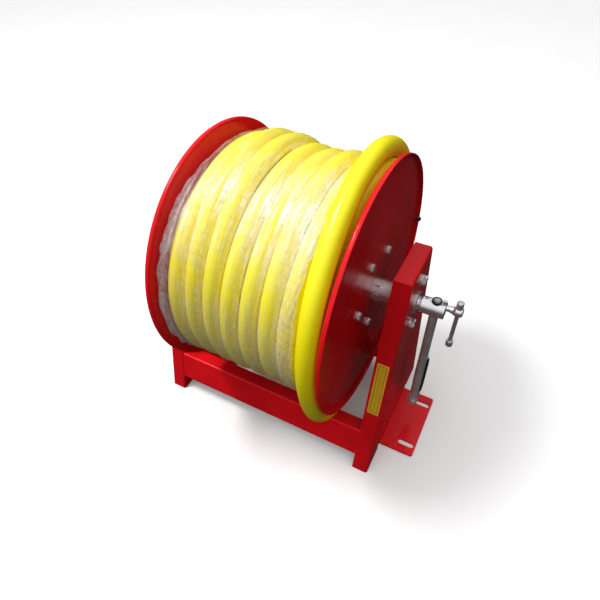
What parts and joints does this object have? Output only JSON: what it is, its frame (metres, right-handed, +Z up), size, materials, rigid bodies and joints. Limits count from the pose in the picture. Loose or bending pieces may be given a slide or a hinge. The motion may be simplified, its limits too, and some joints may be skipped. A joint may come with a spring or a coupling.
{
  "type": "fire hose reel",
  "caption": "Hand-cranked fire hose reel: a steel drum with round discs, wound with thick yellow hose, turning in bearings between folded red side frames joined by beams.",
  "frame": {"origin": "on the ground below the drum's axis, midway between the side frames", "axes": "+X along the drum's axis towards the crank, +Y to the back, +Z up"},
  "size_m": [0.612, 0.4999, 0.6005],
  "materials": {
    "red_paint": "gloss red enamel on folded sheet steel",
    "plain_steel": "bare turned steel",
    "cast_housing": "grey painted casting",
    "bronze": "sintered bronze",
    "chrome": "bright plated steel",
    "zinc_steel": "zinc plated steel",
    "black_steel": "blackened steel",
    "grey_steel": "dull grey bar",
    "brass": "machined brass",
    "ferrule_metal": "pressed aluminium",
    "black_rubber": "matt black rubber",
    "black_plastic": "smooth black plastic",
    "yellow_hose": "smooth yellow hose cover",
    "clear_film": "clear stretch wrapping film",
    "label": "yellow plate with a dark border and no lettering"
  },
  "bodies": {
    "frame": {"right_side_frame": "red_paint", "left_side_frame": "red_paint", "front_beam": "red_paint", "rear_beam": "red_paint", "label_plate": "label", "right_bearing_housing": "cast_housing", "left_bearing_housing": "cast_housing", "right_bearing_bush": "bronze", "left_bearing_bush": "bronze", "right_bearing_bolts": "chrome", "left_bearing_bolts": "chrome", "right_bearing_washers": "chrome", "left_bearing_washers": "chrome", "right_bearing_nuts": "plain_steel", "left_bearing_nuts": "plain_steel"},
    "drum": {"hollow_shaft": "chrome", "stub_shaft": "chrome", "right_shaft_collar": "plain_steel", "left_shaft_collar": "plain_steel", "right_collar_screw": "plain_steel", "left_collar_screw": "plain_steel", "drum_core": "red_paint", "right_end_plate": "plain_steel", "left_end_plate": "plain_steel", "right_disc": "red_paint", "left_disc": "red_paint", "right_disc_bolts": "chrome", "left_disc_bolts": "chrome", "rim_knob": "black_rubber", "crank_hub": "chrome", "hub_roll_pin": "plain_steel", "hub_lock_screw": "zinc_steel", "swivel_socket": "brass", "riser_pipe": "plain_steel", "riser_elbow": "brass", "hose_tail": "brass", "hose_clamp": "zinc_steel", "hose_coil": "yellow_hose", "stretch_film": "clear_film", "hose_ferrule": "ferrule_metal", "hose_coupling": "brass"},
    "crank": {"crank_arm": "grey_steel", "arm_nut": "black_steel", "grip_pivot_bolt": "zinc_steel", "grip_pivot_nut": "zinc_steel"},
    "grip": {"grip_spindle": "plain_steel", "grip_end_cap": "plain_steel"},
    "sleeve": {"grip_sleeve": "black_plastic"},
    "shoe": {"clamp_shoe": "bronze"},
    "screw": {"clamp_screw": "chrome"},
    "bar": {"tommy_bar": "zinc_steel", "bar_knob_upper": "zinc_steel", "bar_knob_lower": "zinc_steel"},
    "inlet": {"swivel_tail": "brass", "swivel_seal": "black_rubber"}
  },
  "joints": [
    {"name": "drum_spin", "type": "hinge", "parent": "frame", "child": "drum", "pos_m": [0, 0, 0.3525], "axis": [1, 0, 0], "continuous": true},
    {"name": "crank_slide", "type": "slide", "parent": "drum", "child": "crank", "axis": [0, 0, 1], "range_m": [0, 0.13]},
    {"name": "grip_fold", "type": "hinge", "parent": "crank", "child": "grip", "pos_m": [0.261, 0.0155, 0.0825], "axis": [0, 1, 0], "range_deg": [0, 90]},
    {"name": "sleeve_spin", "type": "hinge", "parent": "grip", "child": "sleeve", "pos_m": [0.261, 0.0195, 0.1475], "axis": [0, 0, 1], "continuous": true},
    {"name": "shoe_travel", "type": "slide", "parent": "drum", "child": "shoe", "axis": [1, 0, 0], "range_m": [0, 0.0035]},
    {"name": "screw_turn", "type": "hinge", "parent": "shoe", "child": "screw", "pos_m": [0.278, 0, 0.36], "axis": [1, 0, 0], "range_deg": [0, 720]},
    {"name": "bar_slide", "type": "slide", "parent": "screw", "child": "bar", "axis": [0, 0, 1], "range_m": [0, 0.0615]},
    {"name": "inlet_swivel", "type": "hinge", "parent": "drum", "child": "inlet", "pos_m": [-0.29, 0, 0.3525], "axis": [1, 0, 0], "continuous": true}
  ],
  "couplings": [
    {"joint": "shoe_travel", "follows": "screw_turn", "m_per_rad": 0.00027852}
  ]
}
